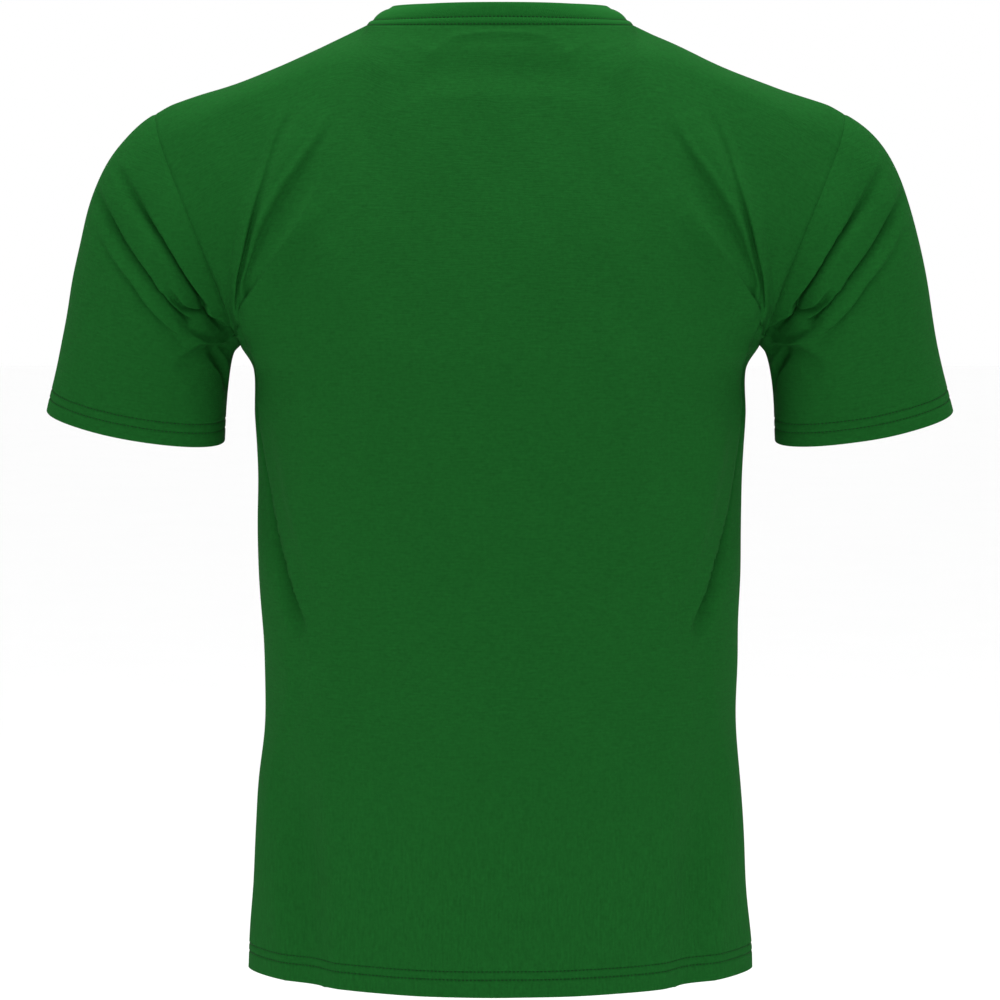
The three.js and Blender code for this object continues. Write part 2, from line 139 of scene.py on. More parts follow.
# face (1 back, -1 front), over in x and z, the sizes above, and rows of x, z and strength
LAPS = [
    # Back, from the shoulder blade down beside the armhole.
    (1, (1, 0.3), (3.6, 4.4, 1.5, 5, 5, 2.2, 2.2, 0.8),
     [(150, -58, 0), (156, -73, 0.25), (163, -92, 0.4), (169, -115, 0.5), (175, -137, 0.65),
      (182, -166, 0.9), (187, -184, 1), (189, -199, 0.9), (189.5, -212, 0.7),
      (189.5, -222, 0.45), (189, -232, 0)]),
    # Back, further in, over the ribs.
    (1, (1, 0.3), (3.2, 1.9, 1.7, 5, 4, 1.0, 1.0, 0.5),
     [(118, -62, 0), (126, -79, 0.3), (138, -99, 0.55), (152, -119, 0.65), (165, -142, 0.75),
      (174, -164, 0.9), (181, -184, 1), (184, -200, 0.9), (186, -210, 0.5), (188, -218, 0)]),
    # Back, along the flank to the underarm point.
    (1, (-0.8, -0.6), (1.4, 2.6, 1.8, 12, 7, 1.6, 1.6, 0.5),
     [(156, -166, 0), (170, -184, 0.5), (180, -198, 0.9), (186, -208, 1), (190, -218, 0.7),
      (192, -226, 0)]),
    # Back of the sleeve, from the top down to the underarm point.
    (1, (-0.7, 0.7), (2.4, 8.0, 1.4, 12, 8, 3.2, 3.0, 0.8),
     [(281, -96, 0), (272, -110, 0.2), (259, -131, 0.5), (251, -142, 0.8), (243, -152, 1),
      (233, -168, 1), (223, -184, 1), (212, -201, 0.9), (206, -212, 0.75), (199, -220, 0.65),
      (194, -226, 0.5), (190, -232, 0)]),
    (1, (-0.7, 0.7), (2.4, 7.6, 1.4, 12, 8, 3.2, 3.0, 0.8),
     [(294, -118, 0), (288, -130, 0.4), (277, -147, 0.8), (264, -165, 1), (252, -181, 1),
      (240, -198, 1), (231, -207, 1), (224, -213, 0.6), (219, -217, 0)]),
    # Short folds between those and the underarm point.
    (1, (-0.4, 0.9), (1.8, 5.6, 1.2, 4, 5, 2.4, 2.2, 0.9),
     [(240, -189, 0), (233, -195, 0.7), (226, -202, 1), (218, -206, 1), (210, -209, 1),
      (204, -213, 0.4), (200, -217, 0)]),
    (1, (-0.7, 0.7), (1.4, 2.2, 1.4, 9, 7, 1.2, 1.2, 0.5),
     [(296, -142, 0), (291, -155, 0.4), (282, -169, 0.7), (272, -181, 0.9), (265, -189, 1),
      (255, -203, 1), (243, -216, 0.9), (233, -225, 0.6), (225, -231, 0)]),
    (1, (0.2, 1), (1.8, 4.4, 2.0, 6, 11, 0.8, 1.0, 0.2),
     [(238, -247, 0), (230, -242, 0.4), (218, -235, 0.7), (207, -233, 0.9), (199, -233, 0.7),
      (193, -233, 0)]),
    # Back, down the side.
    (1, (-1, 0.3), (3.2, 13.0, 2.2, 16, 11, 3.4, 3.2, 0.15),
     [(180, -242, 0), (178, -262, 0.2), (176, -280, 0.45), (175, -305, 0.75), (171, -335, 0.95),
      (165, -368, 1), (157, -393, 1), (151, -413, 0.8), (143, -432, 0.35), (138, -442, 0)]),
    # Front, beside the armhole and over the ribs.
    (-1, (1, 0.3), (2.6, 3.6, 2.0, 12, 9, 2.2, 1.8, 0.4),
     [(140, -84, 0), (152, -112, 0.4), (164, -140, 0.8), (174, -166, 1), (182, -190, 0.9),
      (187, -206, 0.4), (189, -214, 0)]),
    (-1, (1, 0.3), (2.2, 2.8, 2.4, 9, 12, 1.4, 1.0, 0.2),
     [(112, -118, 0), (128, -136, 0.4), (146, -156, 0.8), (162, -175, 1), (174, -192, 0.9),
      (183, -206, 0.5), (187, -216, 0)]),
    # Front of the sleeve.
    (-1, (-0.7, 0.7), (3.0, 5.6, 1.8, 15, 12, 2.8, 2.6, 0.6),
     [(279, -106, 0), (268, -124, 0.45), (254, -145, 0.85), (240, -166, 1), (226, -187, 1),
      (212, -207, 0.9), (203, -220, 0.5), (198, -228, 0)]),
    (-1, (-0.7, 0.7), (2.4, 4.4, 2.0, 13, 12, 2.2, 2.0, 0.5),
     [(294, -138, 0), (284, -154, 0.4), (268, -178, 0.85), (252, -199, 1), (236, -214, 0.8),
      (222, -224, 0.4), (212, -229, 0)]),
    # Front, down the side.
    (-1, (-1, 0.3), (2.6, 6.0, 2.4, 18, 14, 2.4, 2.0, 0.3),
     [(181, -284, 0), (178, -312, 0.5), (173, -345, 0.9), (163, -382, 1), (152, -418, 0.8),
      (143, -446, 0.3), (138, -460, 0)]),
]
# Soft ridges, or troughs where rise is below 0, as wide as reach to each side.
# face, reach, rise, and rows of x, z and strength
SWELLS = [
    # Beside the back of the armhole, at the waist, and down the back.
    (1, 7, -1.2,
     [(188, -140, 0), (190, -157, 0.8), (194, -176, 1), (196, -192, 0.8), (197, -205, 0)]),
    (1, 14, -1.8,
     [(150, -438, 0), (147, -455, 0.6), (146, -480, 1), (150, -505, 0.8), (158, -530, 0.6),
      (163, -560, 0.8), (168, -590, 0.6), (172, -615, 0)]),
    (1, 16, 1.5,
     [(82, -200, 0), (88, -249, 0.8), (95, -290, 1), (101, -336, 1), (109, -385, 1),
      (118, -437, 0.9), (124, -500, 0.6), (126, -560, 0.4), (124, -610, 0)]),
    (1, 18, -1.4,
     [(108, -210, 0), (116, -250, 0.7), (124, -290, 1), (129, -330, 1), (133, -375, 0.8),
      (136, -415, 0)]),
    # Over the ribs, where the fold there begins.
    (1, 7, 1.5,
     [(122, -102, 0), (129, -119, 0.5), (143, -146, 1), (156, -166, 0.9), (170, -184, 0.5),
      (180, -198, 0)]),
    (1, 9, -1.2,
     [(114, -128, 0), (134, -156, 0.8), (148, -175, 1), (162, -193, 0.6), (172, -206, 0)]),
    # Below the underarm point, on the sleeve and on the torso.
    (1, 7, -4.5,
     [(210, -236, 0), (206, -243, 0.8), (202, -249, 1), (201, -258, 0.7), (202, -268, 0)]),
    (1, 14, -3.6,
     [(188, -222, 0), (185, -238, 1), (180, -254, 0.8), (175, -274, 0)]),
    # The sleeve's dip above its lowest fold, and the ridge under it.
    (1, 3.5, -1.8,
     [(227, -220, 0), (220, -223, 0.8), (215, -225, 1), (209, -227, 1), (202, -227, 0.6),
      (197, -227, 0)]),
    (1, 5, 1.4,
     [(228, -229, 0), (220, -229, 0.7), (212, -231, 1), (203, -231, 0.8), (196, -231, 0)]),
    # Under the collar: a faint arc round the nape and short ridges beside it.
    (1, 4.5, 1.3,
     [(60, -48, 0), (47, -25, 0.7), (38, -16, 1), (29, -11, 1), (0, -8.5, 1)]),
    (1, 4, 0.9,
     [(74, -11, 0), (66, -15, 0.8), (56, -20, 1), (48, -26, 0.7), (42, -33, 0)]),
    (1, 4, 0.6,
     [(90, -16, 0), (80, -19, 0.8), (70, -22, 1), (60, -26, 0)]),
    (1, 20, -2.6,
     [(84, -50, 0), (60, -42, 0.6), (35, -38, 1), (0, -37, 1)]),
    # Front: down from the chest, and in the middle above the hem.
    (-1, 18, 1.6,
     [(70, -190, 0), (78, -240, 0.8), (88, -300, 1), (99, -370, 1), (108, -440, 0.7),
      (112, -520, 0)]),
    (-1, 20, -1.4,
     [(98, -210, 0), (110, -260, 0.8), (122, -330, 1), (131, -400, 0.7), (136, -460, 0)]),
    (-1, 22, 1.4,
     [(38, -380, 0), (42, -450, 0.7), (44, -540, 1), (42, -630, 1), (40, -720, 1)]),
]
CREASES = [dict(zip(SIZES, sizes), face=face, over=over, line=line)
           for face, over, sizes, line in LAPS]
CREASES += [dict(face=face, reach=reach, rise=rise, line=line)
            for face, reach, rise, line in SWELLS]
SLIT_WIDTH = 2.8
CREASE_SPACING = 1.5  # between the points of a crease's line
CREASE_END = 6  # how far a crease runs out past its ends
CREASE_FACING = (0.1, 0.55)  # how squarely cloth faces the crease's way to show it, and whole
DEPTH_POINTS = 6  # nearest points of the cloth, which set the depth of each point of a crease
DEPTH_SOFTNESS = 0.2  # how far from being set by the nearest one alone
DEPTH_SPAN = 9  # points that this depth is smoothed over
LEAST_REACH = 8  # of a fold's groove on the inner face
END_BLUNTNESS = 1.6  # how much wider a fold's drop gets at its ends
GATHER = 0.7  # how far the grid's points are drawn to a crease, and from how far
GATHER_REACH = 7
# Slow unevenness of the cloth all over: wavelengths along x, y and z, phase and rise.
UNEVEN = [
    (190, 260, 150, 0.4, 0.5),
    (-130, 180, 210, 1.9, 0.45),
    (95, -150, 320, 3.1, 0.3),
    (70, 110, -95, 4.6, 0.22),
    (-52, 90, 64, 0.9, 0.14),
]

# ---- Cloth and seams ----
JERSEY = 0.9  # wall of the single cloth
DOUBLED = 1.9  # of the turned-up hem and cuffs
RIB = 2.2  # of the folded rib
HEM_TURN = 22  # width of the turned-up hem and cuffs
HEM_STEP = (-0.4, 0.5)  # where its wall grows thin, from that width
ALLOWANCE = 6.5  # width of the seam allowances inside
ALLOWANCE_STEP = (-0.6, 0.4)
SEAM_WALL = 2.0  # wall with its seam allowances
SEAM_SLIT = 0.12  # between two pieces at their seam
SIDE_SLIT = 0.03  # at the side seams, where light would pass through both
SEAM_DIP = 0.55  # how far the cloth turns in at a seam
SEAM_ROUND = 1.5  # and over what width
HEM_ROWS = (13, 19)  # needle rows above the hem's edge
CUFF_ROWS = (10.5, 17)
NEEDLE_DIP = 0.9  # depth and half width of the channel that a row draws
NEEDLE_WIDTH = 1.2
COLLAR_ROW = 6.4  # needle row above the neck seam
SEAM_ROW = 0.9  # stitches that show in the neck seam itself
COLLAR_BULGE = 1.3  # how far the rib stands out above its row, over COLLAR_WIDTH
COLLAR_WIDTH = 14
SEAM_BULGE = 0.35  # and between the seam and the row
STEADY = 10  # over what distance from a seam the normals turn
NECK_CALM = (5, 60)  # from the neck seam, where the cloth's unevenness begins and is whole
THREAD = dict(pitch=2.8, length=1.9, radius=0.34)
# Rings of a stitch: place along it, girth and rise, as shares of its length and radius.
STITCH_RINGS = [
    (-0.5, 0.45, -0.7),
    (-0.22, 1, 0.35),
    (0.22, 1, 0.35),
    (0.5, 0.45, -0.7),
]
STITCH_SIDES = 6


def unit(v):
    return v / np.linalg.norm(v, axis=-1, keepdims=True)


def smoothstep(x, low, high):
    t = np.clip((x - low) / (high - low), 0, 1)
    return t * t * (3 - 2 * t)


def fall(x):
    """1 at 0, running out smoothly to 0 at 1."""
    return (1 - np.clip(np.abs(x), 0, 1) ** 2) ** 2


def hermite(a, b, ta, tb, f):
    g = 1 - f
    return a * (1 + 2 * f) * g * g + ta * f * g * g + b * (3 - 2 * f) * f * f - tb * g * f * f


def from_table(table, at):
    """Smooth values through a table's rows (key, values...), at the keys in `at`."""
    rows = np.array(table, float)
    key, value = rows[:, 0], rows[:, 1:]
    last = len(rows) - 1
    i = np.clip(np.searchsorted(key, at, side="left") - 1, 0, last - 1)

    def slope(a, b):
        return (value[b] - value[a]) / (key[b] - key[a])[..., None]

    span = (key[i + 1] - key[i])[..., None]
    before = slope(np.maximum(i - 1, 0), i + 1) * span
    after = slope(i, np.minimum(i + 2, last)) * span
    return hermite(value[i], value[i + 1], before, after, (at - key[i])[..., None] / span)


# ---- Lofts ----
def neck_ring(ring, is_back, f):
    """A quarter of a neck ring, from the centre line (0) to the side (1)."""
    angle = f * math.pi / 2
    cos = np.clip(np.cos(angle), 0, None)
    end = ring["back"] if is_back else ring["front"]
    down = cos if is_back else cos ** ring["dip"]
    side = ring["side"]
    y = side[0] + (end[0] - side[0]) * cos
    z = side[1] + (end[1] - side[1]) * down
    return np.stack([ring["half"] * np.sin(angle), y, z], axis=-1)


def panel_sections(is_back, across):
    """Points where each column crosses each section, from the top edge to the hem."""
    on_neck = (across <= NECK_SHARE)[:, None]
    neck = neck_ring(NECK_SEAM, is_back, np.minimum(across / NECK_SHARE, 1))
    along = np.clip((across - NECK_SHARE) / (1 - NECK_SHARE), 0, 1)
    top = np.where(on_neck, neck, from_table(SHOULDER_SEAM, along))
    yoke = from_table(YOKE_BACK if is_back else YOKE_FRONT, across)
    size = BLADES if is_back else CHEST
    share = np.sin(across * FAN) / math.sin(FAN)
    centre, edge = size["centre"], size["edge"]
    widest = np.stack([
        size["half"] * share,
        edge[0] + (centre[0] - edge[0]) * (1 - share**2),
        centre[1] + (edge[1] - centre[1]) * across**2,
    ], axis=-1)
    sections = [top, yoke, widest]
    angle = across * math.pi / 2
    for z, half, back, front, flat in LEVELS:
        fullness = np.clip(np.cos(angle), 0, None) ** flat
        y = SIDE_SEAM_Y + ((back if is_back else front) - SIDE_SEAM_Y) * fullness
        sections.append(np.stack([half * np.sin(angle), y, np.full_like(y, z)], axis=-1))
    return np.stack(sections)


def panel_half(is_back, across, rows):
    """The half panel on the wearer's left: a grid of rows, each a (section, share) pair."""
    sections, others = (panel_sections(side, across) for side in (is_back, not is_back))
    step = np.linalg.norm(np.diff(sections, axis=0), axis=2, keepdims=True)
    slope = np.empty_like(sections)
    slope[1:-1] = (sections[2:] - sections[:-2]) / (step[:-1] + step[1:])
    slope[0] = (sections[1] - sections[0]) / step[0]
    # The cloth runs over the shoulder seam in one round.
    over = unit(slope[0] - unit(others[1] - others[0]))
    share, whole = SHOULDER_ROUND
    slope[0] += (over - slope[0]) * share * smoothstep(across, NECK_SHARE, whole)[:, None]
    slope[-1] = (sections[-1] - sections[-2]) / step[-1]
    above = slope.copy()
    corner = smoothstep(across, UNDERARM_SHARE, 1)[:, None]
    turn = np.array(UNDERARM_TURN) * (1, -1 if is_back else 1, 1)
    k = ARMHOLE_SECTIONS
    above[k] += (turn - slope[k]) * corner
    slope[k] += ((sections[k + 1] - sections[k]) / step[k] - slope[k]) * corner
    i = np.array([row[0] for row in rows])
    f = np.array([row[1] for row in rows])[:, None, None]
    return hermite(sections[i], sections[i + 1], slope[i] * step[i], above[i + 1] * step[i], f)


def mirrored(points):
    return points * (-1, 1, 1)


def even(start, end, count):
    return list(np.linspace(start, end, count + 1)[1:])


# Places near a sewn edge, in mm from it, before the even ones begin.
NEAR_SEAM = [0, 0.35, 0.8, 1.4, 2.2, 3.2, 4.6]
# Places near a turned edge.
NEAR_EDGE = [0, 0.12, 0.35, 0.7, 1.1]
# Rows of the panel: in the first section, about TOP_HEIGHT high, in the middle ones and at the hem.
TOP_HEIGHT = 42
TOP_ROWS = 17
SECTION_ROWS = (84, 86, 14, 17, 14, 13, 12, 11, 11, 11, 8)
HEM_SECTION_ROWS = 22
# Columns of the half panel, about SIDE_WIDTH wide: by the neck and from there to the side.
NECK_COLUMNS = 29
SIDE_COLUMNS = 81
SIDE_WIDTH = 200
# Rows of the sleeve's body, spacing and height of its cuff's, and places that measure its length.
SLEEVE_ROWS = 112
CUFF_SPACING = 0.95
CUFF_HEIGHT = 24
SLEEVE_POINTS = 301
# Rows of the rib up to COLLAR_WIDTH and from there to its top.
RIB_ROWS = (12, 6)


def panel_rows():
    """(section, share) of each row, close together where the cloth is creased or stitched."""
    rows = [(0, d / TOP_HEIGHT) for d in NEAR_SEAM]
    rows += [(0, f) for f in even(NEAR_SEAM[-1] / TOP_HEIGHT, 1, TOP_ROWS)]
    for section, count in enumerate(SECTION_ROWS, start=1):
        rows += [(section, f) for f in even(0, 1, count)]
    height = LEVELS[-2][0] - LEVELS[-1][0]
    hem = len(SECTION_ROWS) + 1
    rows += [(hem, f) for f in even(0, 1 - NEAR_EDGE[-1] / height, HEM_SECTION_ROWS)]
    rows += [(hem, 1 - d / height) for d in reversed(NEAR_EDGE[:-1])]
    return rows


def panel_columns():
    """`across` of the half panel's columns, from the centre line to the side."""
    side = 1 - np.array(NEAR_SEAM[::-1]) / SIDE_WIDTH
    return np.array([0] + even(0, NECK_SHARE, NECK_COLUMNS)
                    + even(NECK_SHARE, side[0], SIDE_COLUMNS) + list(side[1:]))


def lengths_along(grid):
    """Distance down each column, from its first row."""
    step = np.linalg.norm(np.diff(grid, axis=0), axis=2)
    return np.concatenate([np.zeros((1, grid.shape[1])), np.cumsum(step, axis=0)])


def lengths_across(grid):
    return lengths_along(grid.swapaxes(0, 1)).swapaxes(0, 1)


def armhole_round(rows):
    """LEAVING's key for each row of the armhole, counted from the shoulder."""
    starts = np.concatenate([[0], np.cumsum(ARMHOLE_STEPS)])
    return np.array([starts[i] + f * ARMHOLE_STEPS[i] for i, f in rows]) / (2 * starts[-1])


def sleeve(ring, around):
    """The left sleeve's grid, from the armhole to the cuff, with its rows even down each column
    and the last ones at fixed distances from the cuff's edge."""
    angle = math.pi - around * 2 * math.pi
    cuff = (np.array(CUFF_MIDDLE) + np.cos(angle)[:, None] * CUFF_OUTER
            + np.sin(angle)[:, None] * CUFF_BACK)
    leaving, arriving = from_table(LEAVING, around), from_table(ARRIVING, around)
    fine = np.linspace(0, 1, SLEEVE_POINTS)
    along = lengths_along(hermite(ring, cuff, leaving, arriving, fine[:, None, None]))
    hem = list(np.arange(CUFF_HEIGHT, NEAR_EDGE[-1], -CUFF_SPACING)) + NEAR_EDGE[::-1]
    columns = []
    for c in range(len(ring)):
        total = along[-1, c]
        body = even(NEAR_SEAM[-1], total - hem[0], SLEEVE_ROWS)
        places = NEAR_SEAM + body[:-1] + [total - d for d in hem]
        columns.append(np.interp(places, along[:, c], fine))
    f = np.array(columns).T[..., None]
    return hermite(ring, cuff, leaving, arriving, f)


def neck_band(across):
    """The rib's grid, round from the centre back by the wearer's left, from the seam upwards."""
    quarter = across[across <= NECK_SHARE * 1.0001] / NECK_SHARE

    def ring(size):
        half = np.concatenate([neck_ring(size, True, quarter),
                               neck_ring(size, False, quarter)[::-1][1:]])
        return np.concatenate([half, mirrored(half[1:-1][::-1])])

    seam, top = ring(NECK_SEAM), ring(NECK_TOP)
    height = np.linalg.norm(top - seam, axis=1)
    up = NEAR_SEAM + even(NEAR_SEAM[-1], COLLAR_WIDTH, RIB_ROWS[0])
    places = [up + even(COLLAR_WIDTH, h - NEAR_EDGE[-1], RIB_ROWS[1])
              + [h - d for d in NEAR_EDGE[-2::-1]] for h in height]
    f = (np.array(places) / height[:, None]).T[..., None]
    return seam + (top - seam) * f


# ---- Sheets ----
# A sheet is a grid of points on the outer face of a piece. `round` says that its rows close on
# themselves, and `turned` that its normals point the other way.
def cell_normals(sheet, grid):
    if sheet["round"]:
        grid = np.concatenate([grid, grid[:, :1]], axis=1)
    a, b, c, d = grid[:-1, :-1], grid[:-1, 1:], grid[1:, 1:], grid[1:, :-1]
    normal = np.cross(d - b, c - a)
    return -normal if sheet["turned"] else normal


def shared_normals(sheets, grids):
    """The mean normal at each point, shared where two pieces meet."""
    sums = []
    for name, sheet in sheets.items():
        grid = grids[name]
        cells = cell_normals(sheet, grid)
        total = np.zeros_like(grid)
        total[:-1, : cells.shape[1]] += cells
        total[1:, : cells.shape[1]] += cells
        if sheet["round"]:
            total += np.roll(np.concatenate([np.zeros_like(grid[:1]), cells]), 1, axis=1)
            total += np.roll(np.concatenate([cells, np.zeros_like(grid[:1])]), 1, axis=1)
        else:
            total[:-1, 1:] += cells
            total[1:, 1:] += cells
        sums.append(total.reshape(-1, 3))
    points = np.concatenate([grids[name].reshape(-1, 3) for name in sheets])
    # Points are one where they round alike, and the shift keeps round sizes from the brink.
    keys = np.round(points * 100 + 0.137).astype(np.int64)
    _, group = np.unique(keys, axis=0, return_inverse=True)
    group = group.ravel()
    total = np.zeros((group.max() + 1, 3))
    np.add.at(total, group, np.concatenate(sums))
    normals = unit(total)[group]
    found, start = {}, 0
    for name in sheets:
        count = grids[name].shape[0] * grids[name].shape[1]
        found[name] = normals[start:start + count].reshape(grids[name].shape)
        start += count
    return found


# ---- Folds ----
def spline(rows, spacing):
    """A smooth line through the rows, as points about `spacing` apart."""
    rows = np.array(rows, float)
    ends = np.concatenate([[2 * rows[0] - rows[1]], rows, [2 * rows[-1] - rows[-2]]])
    places = []
    for p0, p1, p2, p3 in zip(ends, ends[1:], ends[2:], ends[3:]):
        count = max(2, int(np.linalg.norm((p2 - p1)[:2]) / spacing))
        f = np.linspace(0, 1, count, endpoint=False)[:, None]
        places.append(hermite(p1, p2, (p2 - p0) / 2, (p3 - p1) / 2, f))
    return np.concatenate(places + [rows[-1:]])


def nearest(points, line):
    """For each point, the nearest place on the line and the vector from there."""
    few = 4000  # at a time, to save memory
    found = [((points[start:start + few, None] - line[None]) ** 2).sum(axis=2).argmin(axis=1)
             for start in range(0, len(points), few)]
    index = np.concatenate(found) if found else np.empty(0, int)
    return index, points - line[index]


def broad_lift(points, normals):
    """How far the broad folds lift each point along its normal."""
    lift = np.zeros(len(points))
    flat = np.stack([np.abs(points[:, 0]), points[:, 2]], axis=1)
    for face, reach, rise, line in BROAD_FOLDS:
        places = spline(line, FOLD_SPACING)
        low, high = places.min(axis=0) - reach, places.max(axis=0) + reach
        near = ((flat > low) & (flat < high)).all(axis=1) & (face * normals[:, 1] > 0)
        if not near.any():
            continue
        index, offset = nearest(flat[near], places)
        distance = np.linalg.norm(offset, axis=1)
        across = np.cos(np.clip(distance / reach, 0, 1) * math.pi / 2) ** 2
        along = np.clip(index / (len(places) - 1), FOLD_END, 1 - FOLD_END)
        facing = smoothstep(face * normals[near, 1], 0, FACING)
        lift[near] += rise * across * np.sqrt(np.sin(math.pi * along)) * facing
    return lift


def crease_on_cloth(crease, cloth, normals):
    """The crease's line laid on the cloth: places, direction, side, normal and size."""
    line = spline(crease["line"], CREASE_SPACING)
    facing = crease["face"] * normals[:, 1] > 0.05
    points, directions = cloth[facing], normals[facing]
    gap = ((points[None, :, (0, 2)] - line[:, None, :2]) ** 2).sum(axis=2)
    closest = np.argsort(gap, axis=1)[:, :DEPTH_POINTS]
    weight = 1 / (np.take_along_axis(gap, closest, axis=1) + DEPTH_SOFTNESS)
    weight = (weight / weight.sum(axis=1, keepdims=True))[..., None]
    depth = (points[closest] * weight).sum(axis=1)[:, 1]
    depth = np.pad(depth, DEPTH_SPAN // 2, mode="edge")
    smooth = np.convolve(depth, np.ones(DEPTH_SPAN) / DEPTH_SPAN, mode="valid")
    places = np.stack([line[:, 0], smooth, line[:, 1]], axis=1)
    normal = unit((directions[closest] * weight).sum(axis=1))
    along = unit(np.gradient(places, axis=0))
    side = unit(np.cross(along, normal))
    if "over" in crease:
        toward = np.array([crease["over"][0], 0, crease["over"][1]])
        side *= np.sign((side @ toward).sum())
    return places, along, side, normal, np.clip(line[:, 2], 0, 1)


def crease_shift(points, normals, crease, cloth, cloth_normals):
    """How a crease moves each point: its rows, the lift along the normal, a sideways shift and
    the lift of the inner face, which only follows the groove."""
    places, along, side, normal, size = crease_on_cloth(crease, cloth, cloth_normals)
    swell = "reach" in crease
    if swell:
        reach = crease["reach"]
    else:
        reach = max(crease["up"], crease["down"], LEAST_REACH) + 3 * crease["edge"]
    rows = np.nonzero(((points > places.min(axis=0) - reach)
                       & (points < places.max(axis=0) + reach)).all(axis=1))[0]
    index, offset = nearest(points[rows], places)
    run = (offset * along[index]).sum(axis=1)
    across = offset - run[:, None] * along[index]
    sign = np.where((across * side[index]).sum(axis=1) < 0, -1, 1)
    s = sign * np.linalg.norm(across, axis=1)
    mask = smoothstep((normals[rows] * normal[index]).sum(axis=1), *CREASE_FACING)
    past = np.where(index == 0, -run, np.where(index == len(places) - 1, run, 0))
    mask *= fall(np.clip(past, 0, None) / CREASE_END)
    here = np.clip(size[index] + np.gradient(size)[index] * run / CREASE_SPACING, 0, 1)
    strength = here * mask
    # The points gather at all but the wide swells, which gives the sharp forms enough of them.
    gather = 0 if swell and reach > GATHER_REACH else GATHER
    pull = -gather * s * fall(s / GATHER_REACH) * strength
    drawn = s + pull
    if swell:
        lift = crease["rise"] * fall(drawn / reach) * strength
        return rows, lift, side[index] * pull[:, None], np.minimum(lift, 0)
    edge = crease["edge"] * (1 + END_BLUNTNESS * (1 - here))
    top = np.where(drawn > edge, fall((drawn - edge) / crease["up"]),
                   fall((edge - drawn) / (2 * edge)))
    slit = crease["slit"] * strength
    open_side = (slit * fall((-edge - drawn) / SLIT_WIDTH)
                 + (1 - slit) * fall((-edge - drawn) / crease["down"]))
    bottom = np.where(drawn > -edge, fall((drawn + edge) / (2 * edge)), open_side)
    lift = (crease["crest"] * top - crease["groove"] * bottom) * strength
    tuck = crease["tuck"] * bottom - crease["lean"] * top
    sideways = side[index] * (tuck * strength**1.5 + pull)[:, None]
    soft = fall(np.clip(np.abs(s) - edge, 0, None) / max(crease["down"], LEAST_REACH))
    return rows, lift, sideways, -crease["groove"] * soft * strength


def uneven(points):
    lift = np.zeros(len(points))
    for wave_x, wave_y, wave_z, phase, rise in UNEVEN:
        turn = points[:, 0] / wave_x + points[:, 1] / wave_y + points[:, 2] / wave_z
        lift += rise * np.sin(2 * math.pi * turn + phase)
    return lift


def steadied(sheet, normal):
    """Normals that turn slowly beside a seam where two pieces meet at an angle."""
    share = smoothstep(sheet["from_top"], 0, STEADY)[..., None]
    normal = normal[:1] * (1 - share) + normal * share
    if not sheet["round"]:
        for column, distance in ((0, "from_first"), (-1, "from_last")):
            share = smoothstep(sheet[distance], 0, STEADY)[..., None]
            normal = normal[:, column][:, None] * (1 - share) + normal * share
    return unit(normal)


def creased(sheets, grids):
    """The outer and inner grids with all folds and creases, worked out from place and shared
    normal alone, so that pieces stay together where they meet."""
    normals = shared_normals(sheets, grids)
    left = [n for n in grids if n not in ("sleeve_right", "neck_band")]
    cloth = np.concatenate([grids[n].reshape(-1, 3) for n in left])
    cloth_normals = np.concatenate([normals[n].reshape(-1, 3) for n in left])
    kept = cloth[:, 0] > -3  # the side where the creases' lines are, with the centre line
    cloth, cloth_normals = cloth[kept], cloth_normals[kept]
    neck = grids["neck_band"][0]
    calm, whole = NECK_CALM
    outer, inner = {}, {}
    for name, grid in grids.items():
        if name == "neck_band":
            outer[name], inner[name] = grid, grid
            continue
        points = grid.reshape(-1, 3)
        normal = steadied(sheets[name], normals[name]).reshape(-1, 3)
        own = np.where(points[:, :1] < 0, (-1.0, 1, 1), (1.0, 1, 1))
        _, to_neck = nearest(points, neck)
        to_neck = np.linalg.norm(to_neck, axis=1)
        lift = broad_lift(points, normal) + uneven(points) * smoothstep(to_neck, calm, whole)
        under = lift.copy()
        sideways = np.zeros_like(points)
        free = smoothstep(to_neck, 0, calm)
        for crease in CREASES:
            rows, up, shift, soft = crease_shift(points * own, normal * own, crease, cloth,
                                                 cloth_normals)
            lift[rows] += up * free[rows]
            sideways[rows] += shift
            under[rows] += soft * free[rows]
        moved = points + normal * lift[:, None] + sideways * own
        outer[name] = moved.reshape(grid.shape)
        inner[name] = (points + normal * np.minimum(under, lift)[:, None]).reshape(grid.shape)
    return outer, inner


# ---- Walls ----
def channel(distance, middle):
    """The channel that a row of stitches draws, `middle` mm from an edge."""
    return NEEDLE_DIP * fall((distance - middle) / NEEDLE_WIDTH)


def edge_round(distance, wall):
    """How far a turned edge is rounded off from each face, `distance` mm from it."""
    half = wall / 2
    inside = np.clip(half - distance, 0, half)
    return half - np.sqrt(np.clip(half**2 - inside**2, 0, None))


